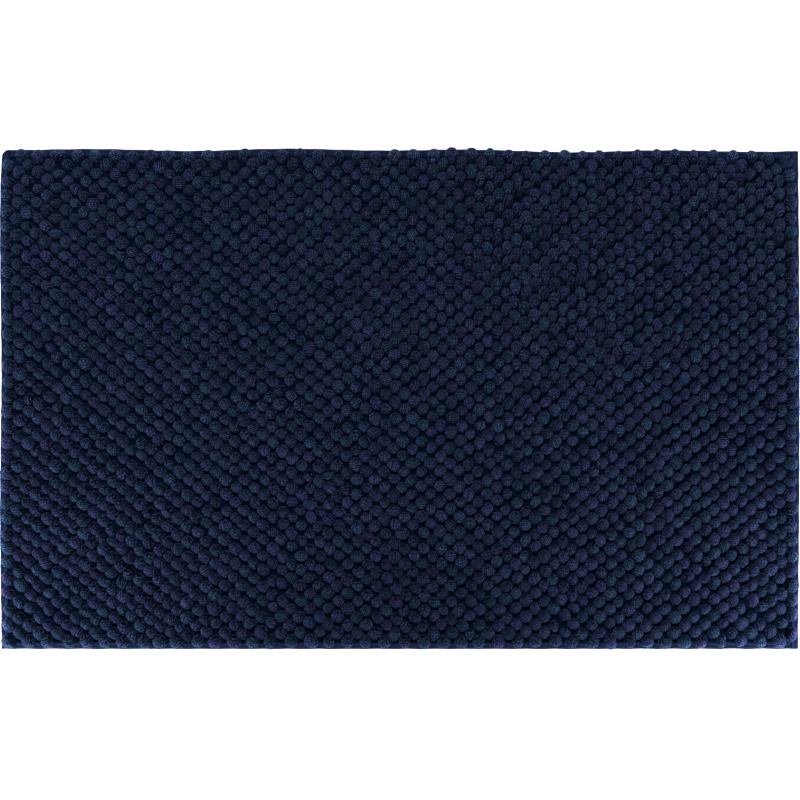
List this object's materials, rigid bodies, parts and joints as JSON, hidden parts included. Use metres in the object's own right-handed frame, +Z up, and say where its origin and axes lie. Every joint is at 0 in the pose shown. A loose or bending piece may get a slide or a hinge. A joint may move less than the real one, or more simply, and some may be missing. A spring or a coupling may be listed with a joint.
{
  "type": "bath mat",
  "caption": "Rectangular chenille bath mat with staggered rows of soft bobbles on a woven ground cloth, folded edge binding and an anti-slip latex underside",
  "frame": {"origin": "centre of the mat's underside, on the surface that it lies on", "axes": "+X along the mat's length, +Y across its width towards the back edge, +Z up through the pile"},
  "size_m": [0.8, 0.5, 0.0178],
  "materials": {
    "chenille_pile": "navy microfibre chenille, matt with a soft sheen",
    "binding_tape": "navy woven binding tape, slight satin",
    "ground_cloth": "navy plain-woven ground cloth",
    "anti_slip_latex": "dark blue-grey foamed latex, matt",
    "sewing_thread": "navy twisted polyester thread",
    "label_tape": "blank white satin label tape"
  },
  "bodies": {
    "root": {"base_cloth": "ground_cloth", "anti_slip_backing": "anti_slip_latex", "care_label": "label_tape", "binding_front": "binding_tape", "needle_thread_front": "sewing_thread", "bobbin_thread_front": "sewing_thread", "binding_right": "binding_tape", "needle_thread_right": "sewing_thread", "bobbin_thread_right": "sewing_thread", "binding_back": "binding_tape", "needle_thread_back": "sewing_thread", "bobbin_thread_back": "sewing_thread", "binding_left": "binding_tape", "needle_thread_left": "sewing_thread", "bobbin_thread_left": "sewing_thread", "pile_row_01": "chenille_pile", "pile_row_02": "chenille_pile", "pile_row_03": "chenille_pile", "pile_row_04": "chenille_pile", "pile_row_05": "chenille_pile", "pile_row_06": "chenille_pile", "pile_row_07": "chenille_pile", "pile_row_08": "chenille_pile", "pile_row_09": "chenille_pile", "pile_row_10": "chenille_pile", "pile_row_11": "chenille_pile", "pile_row_12": "chenille_pile", "pile_row_13": "chenille_pile", "pile_row_14": "chenille_pile", "pile_row_15": "chenille_pile", "pile_row_16": "chenille_pile", "pile_row_17": "chenille_pile", "pile_row_18": "chenille_pile", "pile_row_19": "chenille_pile", "pile_row_20": "chenille_pile", "pile_row_21": "chenille_pile", "pile_row_22": "chenille_pile", "pile_row_23": "chenille_pile", "pile_row_24": "chenille_pile", "pile_row_25": "chenille_pile", "pile_row_26": "chenille_pile", "pile_row_27": "chenille_pile", "pile_row_28": "chenille_pile", "pile_row_29": "chenille_pile", "pile_row_30": "chenille_pile", "pile_row_31": "chenille_pile", "pile_row_32": "chenille_pile"}
  },
  "joints": []
}
